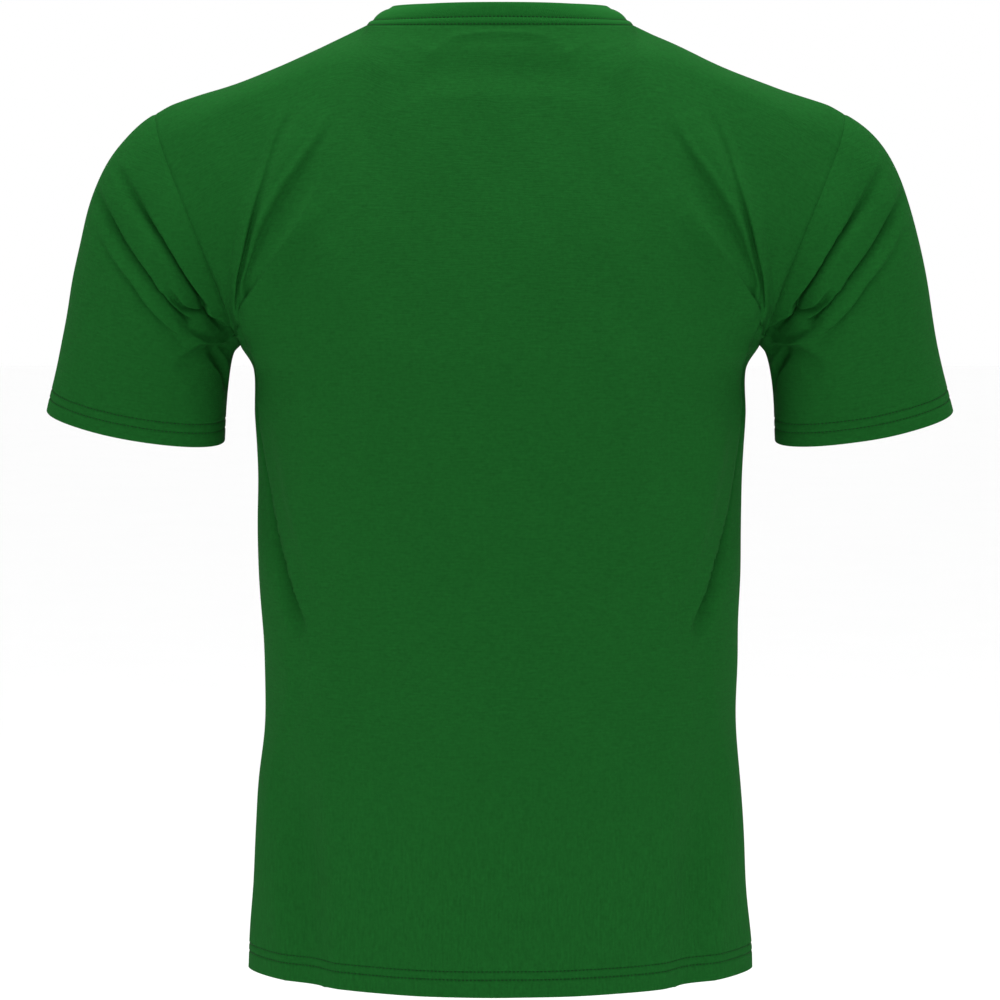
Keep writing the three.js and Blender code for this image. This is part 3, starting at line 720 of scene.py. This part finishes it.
def wall_faces(sheet, grids, normals):
    """Outer and inner faces of a piece from its shaped grids."""
    seam, edge = sheet["from_seam"], sheet["from_edge"]
    wall = np.full(seam.shape, JERSEY)
    if sheet["rib"]:
        wall[:] = RIB
    else:
        turn = 1 - smoothstep(edge, *(HEM_TURN + d for d in HEM_STEP))
        wall += (DOUBLED - JERSEY) * turn
        lap = 1 - smoothstep(seam, *(ALLOWANCE + d for d in ALLOWANCE_STEP))
        wall = np.maximum(wall, JERSEY + (SEAM_WALL - JERSEY) * lap)
    dip = SEAM_DIP * np.exp(-((seam / SEAM_ROUND) ** 2))
    out = dip.copy()
    for middle in sheet["needle"]:
        out += channel(seam, middle) * 0.5 if sheet["rib"] else channel(edge, middle)
    if sheet["rib"]:
        # The thick rib turns in further and stands out on both sides of its row of stitches.
        out += dip
        above, below = (seam - COLLAR_ROW) / COLLAR_WIDTH, seam / COLLAR_ROW
        out -= COLLAR_BULGE * np.sin(math.pi * np.clip(above, 0, 1)) ** 0.8
        out -= SEAM_BULGE * np.sin(math.pi * np.clip(below, 0, 1))
    rounding = edge_round(edge, wall)
    outer = grids[0] - normals[0] * (out + rounding)[..., None]
    inner = grids[1] - normals[1] * (wall - rounding)[..., None]
    return outer, inner


def drawn_in(sheet, grid, normal):
    """How each sewn edge is drawn in along the cloth: by half the slit at its seam."""
    edges = [(np.s_[0], np.s_[1], SEAM_SLIT)]
    if not sheet["round"]:
        edges += [(np.s_[:, 0], np.s_[:, 1], SIDE_SLIT), (np.s_[:, -1], np.s_[:, -2], SIDE_SLIT)]
    shift = np.zeros_like(grid)
    for edge, beside, slit in edges:
        inward = grid[beside] - grid[edge]
        inward -= normal[edge] * (inward * normal[edge]).sum(-1, keepdims=True)
        shift[edge] += unit(inward) * slit / 2
    return shift


def corner_grain(mesh, grain):
    """The grain at each face's corners. Where a face closes a tube, it runs on past the start."""
    vertex = np.empty(len(mesh.loops), np.int32)
    mesh.loops.foreach_get("vertex_index", vertex)
    starts = np.empty(len(mesh.polygons), np.int32)
    mesh.polygons.foreach_get("loop_start", starts)
    u, v, girth = grain[vertex].T
    farthest = np.repeat(np.maximum.reduceat(u, starts), np.diff(np.append(starts, len(u))))
    return np.stack([np.where(farthest - u > girth / 2, u + girth, u), v], axis=-1)


def mesh_object(name, points, faces, material, grain=None):
    mesh = bpy.data.meshes.new(name)
    mesh.from_pydata((points / 1000).tolist(), [], faces)
    mesh.validate()
    mesh.polygons.foreach_set("use_smooth", [True] * len(mesh.polygons))
    mesh.materials.append(material)
    if grain is not None:
        layer = mesh.uv_layers.new(name="Grain")
        uv = corner_grain(mesh, grain) / 1000
        layer.data.foreach_set("uv", uv.astype(np.float32).ravel())
    mesh.update()
    obj = bpy.data.objects.new(name, mesh)
    bpy.context.scene.collection.objects.link(obj)
    return obj


def every_second(count):
    """Every second place, with the last one."""
    return list(range(0, count - 1, 2)) + [count - 1]


def cells_of(index):
    cells = np.stack([index[:-1, :-1], index[:-1, 1:], index[1:, 1:], index[1:, :-1]], axis=-1)
    return cells.reshape(-1, 4)


def rim_of(fine, coarse):
    """Faces between an edge of the outer face and the same edge of the inner, which has only
    every second point of it."""
    steps = every_second(len(fine))
    return [[*fine[a:b + 1], coarse[k + 1], coarse[k]]
            for k, (a, b) in enumerate(zip(steps, steps[1:]))]


def sheet_object(name, sheet, outer, inner, material):
    """A closed wall. Its inner face has every second row and column of the outer one."""
    rows, columns = outer.shape[:2]
    count = rows * columns
    some_rows, some_columns = every_second(rows), every_second(columns)
    if sheet["round"]:
        some_columns = list(range(0, columns, 2))
    inner = inner[some_rows][:, some_columns]
    fine = np.arange(count).reshape(rows, columns)
    coarse = count + np.arange(inner.shape[0] * inner.shape[1]).reshape(inner.shape[:2])
    if sheet["round"]:
        fine = np.concatenate([fine, fine[:, :1]], axis=1)
        coarse = np.concatenate([coarse, coarse[:, :1]], axis=1)
    faces = cells_of(fine)[:, ::-1].tolist() + cells_of(coarse).tolist()
    faces += rim_of(fine[0], coarse[0])
    faces += [face[::-1] for face in rim_of(fine[-1], coarse[-1])]
    if not sheet["round"]:
        faces += [face[::-1] for face in rim_of(fine[:, 0], coarse[:, 0])]
        faces += rim_of(fine[:, -1], coarse[:, -1])
    if sheet["turned"]:
        faces = [face[::-1] for face in faces]
    points = np.concatenate([outer.reshape(-1, 3), inner.reshape(-1, 3)])
    grain = sheet["grain"]
    grain = np.concatenate([grain.reshape(-1, 3),
                            grain[some_rows][:, some_columns].reshape(-1, 3)])
    return mesh_object(name, points, faces, material, grain)


# ---- Stitches ----
def interpolated(at, key, values):
    """The rows of `values` at the keys in `at`."""
    return np.stack([np.interp(at, key, values[:, k]) for k in range(3)], axis=1)


def thread_object(name, paths, material):
    """Short threads lying end to end in rows, each bent into the cloth at both ends."""
    sides, rings = STITCH_SIDES, len(STITCH_RINGS)
    half, radius = THREAD["length"] / 2, THREAD["radius"]
    turn = np.arange(sides) * 2 * math.pi / sides
    points, faces, base = [], [], 0
    for path, normals in paths:
        length = lengths_along(path[:, None])[:, 0]
        count = int(length[-1] / THREAD["pitch"])
        middle = (np.arange(count) + 0.5) * length[-1] / count
        centre = interpolated(middle, length, path)
        ahead = interpolated(middle + half, length, path)
        behind = interpolated(middle - half, length, path)
        along = unit(ahead - behind)
        side = unit(np.cross(along, interpolated(middle, length, normals)))
        normal = np.cross(side, along)
        for c, t, n, b in zip(centre, along, normal, side):
            for place, girth, rise in STITCH_RINGS:
                middle_of_ring = c + t * place * THREAD["length"] + n * rise * radius
                ring = (np.cos(turn)[:, None] * b + np.sin(turn)[:, None] * n) * girth
                points.append(middle_of_ring + ring * radius)
            for k in range(base, base + (rings - 1) * sides, sides):
                for j in range(sides):
                    a, d = k + j, k + (j + 1) % sides
                    faces.append((a, a + sides, d + sides, d))
            faces.append(tuple(range(base, base + sides)))
            base += rings * sides
            faces.append(tuple(range(base - 1, base - 1 - sides, -1)))
    return mesh_object(name, np.concatenate(points), faces, material)


# ---- Materials ----
DARK_GREEN = (0.0062, 0.0630, 0.0100)
LIGHT_GREEN = (0.0080, 0.0826, 0.0132)
# The rib's greens are its own green made lighter than the jersey's with painted light, which stands
# in for the light falling on the upstanding collar.
RIB_DARK_PAINTED_LIGHT = (0.0074, 0.0800, 0.0124)
RIB_LIGHT_PAINTED_LIGHT = (0.0092, 0.0940, 0.0150)
# The thread's greens are far darker than the cloth, whose colour the thread really has: painted
# shade, standing in for the shadow in the channels the stitches sink into.
THREAD_GREEN_PAINTED_SHADE = (0.0018, 0.0220, 0.0032)
THREAD_LIGHT_PAINTED_SHADE = (0.0026, 0.0300, 0.0044)
# In metres, like the grain map.
WALE_OF_RIB = 0.0015
WALE_OF_JERSEY = 0.00075
COURSE_OF_JERSEY = 0.0006
STREAKS_TURN = (-0.50, -0.62)  # heights where they run across the cloth and down it


class Nodes:
    """Adds nodes to a material and links them."""

    def __init__(self, name):
        self.material = bpy.data.materials.new(name)
        self.material.use_nodes = True
        self.tree = self.material.node_tree
        self.shader = self.tree.nodes["Principled BSDF"]

    def add(self, kind, inputs=None, **settings):
        node = self.tree.nodes.new(kind)
        for key, value in settings.items():
            setattr(node, key, value)
        for key, value in (inputs or {}).items():
            self.feed(node.inputs[key], value)
        return node

    def feed(self, socket, value):
        if isinstance(value, bpy.types.NodeSocket):
            self.tree.links.new(value, socket)
        else:
            socket.default_value = value

    def math(self, operation, *values):
        node = self.add("ShaderNodeMath", operation=operation)
        for socket, value in zip(node.inputs, values):
            self.feed(socket, value)
        return node.outputs[0]

    def colour(self, factor, dark, light):
        """Gives the shader a base colour between two."""
        node = self.add("ShaderNodeMix", {"Factor": factor}, data_type="RGBA")
        node.inputs["A"].default_value = (*dark, 1)
        node.inputs["B"].default_value = (*light, 1)
        self.feed(self.shader.inputs["Base Color"], node.outputs["Result"])

    def noise(self, vector, scale, detail, roughness=0.5):
        inputs = {"Vector": vector, "Scale": scale, "Detail": detail, "Roughness": roughness}
        return self.add("ShaderNodeTexNoise", inputs).outputs["Fac"]

    def stretched(self, vector, scale):
        node = self.add("ShaderNodeMapping", {"Vector": vector, "Scale": scale})
        return node.outputs["Vector"]

    def bump(self, height, distance, strength, normal=None):
        inputs = {"Height": height, "Distance": distance, "Strength": strength}
        if normal is not None:
            inputs["Normal"] = normal
        return self.add("ShaderNodeBump", inputs).outputs["Normal"]


def knitted(name, is_rib):
    """Matte knitted cotton. The grain map runs round the piece and down it, in metres."""
    n = Nodes(name)
    grain = n.add("ShaderNodeUVMap", uv_map="Grain").outputs["UV"]
    place = n.add("ShaderNodeTexCoord").outputs["Object"]
    slubs = n.noise(n.stretched(grain, (110, 760, 1)), 1.0, 3.0, 0.6)
    streaks = n.noise(n.stretched(grain, (620, 90, 1)), 1.0, 2.0)
    mottle = n.noise(place, 420.0, 3.0, 0.6)
    cloudy = n.noise(place, 14.0, 2.0)
    # Streaks run across the upper cloth and down the lower.
    height = n.add("ShaderNodeSeparateXYZ", {"Vector": place}).outputs["Z"]
    low = n.add("ShaderNodeMapRange", {"Value": height, "From Min": STREAKS_TURN[0],
                                       "From Max": STREAKS_TURN[1]})
    mixed = n.add("ShaderNodeMix", {"Factor": low.outputs["Result"], "A": slubs, "B": streaks})
    tone = n.math("ADD", n.math("MULTIPLY", mixed.outputs["Result"], 0.42),
                  n.math("ADD", n.math("MULTIPLY", mottle, 0.50), n.math("MULTIPLY", cloudy, 0.08)))
    spread = n.add("ShaderNodeMapRange", {"Value": tone, "From Min": 0.36, "From Max": 0.64})
    # The rib takes its lighter greens, which hold painted light on top of the cloth's own green.
    greens = (RIB_DARK_PAINTED_LIGHT, RIB_LIGHT_PAINTED_LIGHT) if is_rib else (DARK_GREEN, LIGHT_GREEN)
    n.colour(spread.outputs["Result"], *greens)
    rough = n.add("ShaderNodeMapRange", {"Value": mottle, "To Min": 0.86, "To Max": 0.96})
    n.feed(n.shader.inputs["Roughness"], rough.outputs["Result"])
    n.shader.inputs["Specular IOR Level"].default_value = 0.02
    n.shader.inputs["Sheen Weight"].default_value = 0.003
    n.shader.inputs["Sheen Roughness"].default_value = 0.4
    n.shader.inputs["Sheen Tint"].default_value = (0.8, 1.0, 0.84, 1)
    axes = n.add("ShaderNodeSeparateXYZ", {"Vector": grain})
    if is_rib:
        # Wales of a 1x1 rib.
        wale = n.math("SINE", n.math("MULTIPLY", axes.outputs["X"], 2 * math.pi / WALE_OF_RIB))
        knit = n.bump(n.math("MULTIPLY_ADD", wale, 0.5, 0.5), 0.0004, 0.55)
    else:
        # Loops of the jersey, as V shapes.
        wale = n.math("PINGPONG", n.math("DIVIDE", axes.outputs["X"], WALE_OF_JERSEY), 0.5)
        rise = n.math("DIVIDE", axes.outputs["Y"], COURSE_OF_JERSEY)
        course = n.math("ADD", rise, wale)
        loop = n.math("SINE", n.math("MULTIPLY", course, 2 * math.pi))
        column = n.math("SINE", n.math("MULTIPLY", wale, 2 * math.pi))
        knit = n.bump(n.math("ADD", n.math("MULTIPLY", loop, 0.5), column), 0.00012, 0.5)
    uneven_yarn = n.bump(mixed.outputs["Result"], 0.0006, 0.45, knit)
    soft = n.noise(place, 55.0, 2.0)
    n.feed(n.shader.inputs["Normal"], n.bump(soft, 0.0012, 0.35, uneven_yarn))
    return n.material


def threads(name):
    n = Nodes(name)
    place = n.add("ShaderNodeTexCoord").outputs["Object"]
    twist = n.noise(place, 2600.0, 1.0)
    # Both greens are painted shade of the sunken stitches, darker than the thread's own colour.
    n.colour(twist, THREAD_GREEN_PAINTED_SHADE, THREAD_LIGHT_PAINTED_SHADE)
    n.shader.inputs["Roughness"].default_value = 0.6
    n.shader.inputs["Specular IOR Level"].default_value = 0.1
    n.feed(n.shader.inputs["Normal"], n.bump(twist, 0.0001, 0.4))
    return n.material


# ---- The garment ----
rows, across = panel_rows(), panel_columns()
grids = {}
for piece, is_back in (("back", True), ("front", False)):
    half = panel_half(is_back, across, rows)
    grids[piece] = np.concatenate([mirrored(half[:, :0:-1]), half], axis=1)
hole_rows = [row for row in rows if row[0] < ARMHOLE_SECTIONS]
last_row = len(hole_rows) - 1
to_shoulder = armhole_round(hole_rows)
back_edge, front_edge = (grids[n][: last_row + 1, -1] for n in ("back", "front"))
ring = np.concatenate([back_edge[::-1], front_edge[1:-1]])
around = np.concatenate([0.5 - to_shoulder[::-1], 0.5 + to_shoulder[1:-1]])
grids["sleeve_left"] = sleeve(ring, around)
grids["sleeve_right"] = mirrored(grids["sleeve_left"])
grids["neck_band"] = neck_band(across)

sheets = {
    "back": dict(round=False, turned=True, rib=False, needle=HEM_ROWS),
    "front": dict(round=False, turned=False, rib=False, needle=HEM_ROWS),
    "sleeve_left": dict(round=True, turned=True, rib=False, needle=CUFF_ROWS),
    "sleeve_right": dict(round=True, turned=False, rib=False, needle=CUFF_ROWS),
    "neck_band": dict(round=True, turned=False, rib=True, needle=(COLLAR_ROW,)),
}
for piece, sheet in sheets.items():
    grid = grids[piece]
    down, over = lengths_along(grid), lengths_across(grid)
    middle = grid.shape[1] // 2
    sheet["from_top"], sheet["from_edge"] = down, down[-1] - down
    if sheet["rib"]:
        over = np.repeat(over[len(over) // 2][None], len(over), axis=0)
    girth = np.full_like(over, np.inf)
    if sheet["round"]:
        girth[:] = over[:, -1:] + np.linalg.norm(grid[:, 0] - grid[:, -1], axis=1)[:, None]
        under = np.minimum(over, girth - over)
        sheet["from_seam"] = down if sheet["rib"] else np.minimum(down, under)
        level = -sheet["from_edge"]
    else:
        sheet["from_first"], sheet["from_last"] = over, over[:, -1:] - over
        side = np.minimum(sheet["from_first"], sheet["from_last"])
        sheet["from_seam"] = np.minimum(down, side)
        level = np.repeat(down[:, middle:middle + 1], grid.shape[1], axis=1)
    sheet["grain"] = np.stack([over - over[:, middle:middle + 1], level, girth], axis=-1)

shaped, lining = creased(sheets, grids)
normals, lining_normals = shared_normals(sheets, shaped), shared_normals(sheets, lining)
jersey, rib, thread = knitted("Jersey", False), knitted("Rib", True), threads("Thread painted shade")
pieces, faces_of = {}, {}
for piece, sheet in sheets.items():
    outer, inner = wall_faces(sheet, (shaped[piece], lining[piece]),
                              (normals[piece], lining_normals[piece]))
    outer += drawn_in(sheet, shaped[piece], normals[piece])
    inner += drawn_in(sheet, lining[piece], lining_normals[piece])
    faces_of[piece] = outer
    pieces[piece] = sheet_object("cloth_" + piece, sheet, outer, inner,
                                 rib if sheet["rib"] else jersey)


def needle_path(piece, middle, measure):
    """The line of a row of stitches on a piece's outer face, with its normals."""
    distance = sheets[piece][measure]
    order = np.argsort(distance, axis=0)
    columns = list(range(distance.shape[1]))
    if sheets[piece]["round"]:
        columns.append(0)

    def crossed(grid):
        return np.concatenate([interpolated([middle], distance[order[:, c], c],
                                            grid[order[:, c], c]) for c in columns])

    return crossed(faces_of[piece]), crossed(normals[piece])


stitched = {piece: [needle_path(piece, d, "from_edge") for d in sheets[piece]["needle"]]
            for piece in sheets if piece != "neck_band"}
stitched["neck_band"] = [needle_path("neck_band", d, "from_seam") for d in (SEAM_ROW, COLLAR_ROW)]
for piece, obj in pieces.items():
    rows_of_thread = thread_object("thread_" + piece, stitched[piece], thread)
    for part in (obj, rows_of_thread):
        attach(part, "root")
    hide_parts(piece)

# ---- Floor, light and camera ----
FLOOR_Z = -1.455  # a wearer's floor
FLOOR_SIZE = 60
bpy.ops.mesh.primitive_plane_add(size=FLOOR_SIZE, location=(0, 0, FLOOR_Z))
floor = bpy.context.object
floor.name = "Floor"
pale = Nodes("Pale floor")
speck = pale.noise(pale.add("ShaderNodeTexCoord").outputs["Object"], 3.0, 2.0)
pale.colour(speck, (0.97, 0.97, 0.97), (0.99, 0.99, 0.99))
pale.shader.inputs["Roughness"].default_value = 0.8
floor.data.materials.append(pale.material)

world = bpy.data.worlds.new("Studio")
world.use_nodes = True
background = world.node_tree.nodes["Background"]
background.inputs["Color"].default_value = (1, 1, 1, 1)
background.inputs["Strength"].default_value = 1.0
bpy.context.scene.world = world


def softbox(name, place, target, width, height, power):
    light = bpy.data.lights.new(name, "AREA")
    light.shape = "RECTANGLE"
    light.size = width
    light.size_y = height
    light.energy = power
    obj = bpy.data.objects.new(name, light)
    obj.location = place
    obj.rotation_euler = (Vector(target) - Vector(place)).to_track_quat("-Z", "Y").to_euler()
    obj.visible_camera = False
    bpy.context.scene.collection.objects.link(obj)


# name, place, target, width and height in metres, power in watts
SOFTBOXES = [
    ("Overhead", (0, 0, 2.2), (0, 0, -0.3), 1.2, 1.2, 66),
    ("Back", (0, 3.2, -0.5), (0, 0, -0.4), 2.0, 1.2, 16),
    ("Front", (0, -3.2, -0.5), (0, 0, -0.4), 2.0, 1.2, 16),
    ("Left", (2.4, 0, 1.4), (0, 0, -0.2), 1.0, 1.0, 14),
    ("Right", (-2.4, 0, 1.4), (0, 0, -0.2), 1.0, 1.0, 14),
]
for row in SOFTBOXES:
    softbox(*row)

CAMERA_PLACE = (0, 2.6, -0.145)
CAMERA_TARGET = (0, 0, -0.3487)
CAMERA_LENS = 126.9
CAMERA_SENSOR = 36
camera = bpy.data.objects.new("Camera", bpy.data.cameras.new("Camera"))
camera.location = CAMERA_PLACE
aim = Vector(CAMERA_TARGET) - Vector(CAMERA_PLACE)
camera.rotation_euler = aim.to_track_quat("-Z", "Y").to_euler()
camera.data.lens = CAMERA_LENS
camera.data.sensor_width = CAMERA_SENSOR
bpy.context.scene.collection.objects.link(camera)
bpy.context.scene.camera = camera
bpy.context.scene.view_settings.view_transform = "Standard"
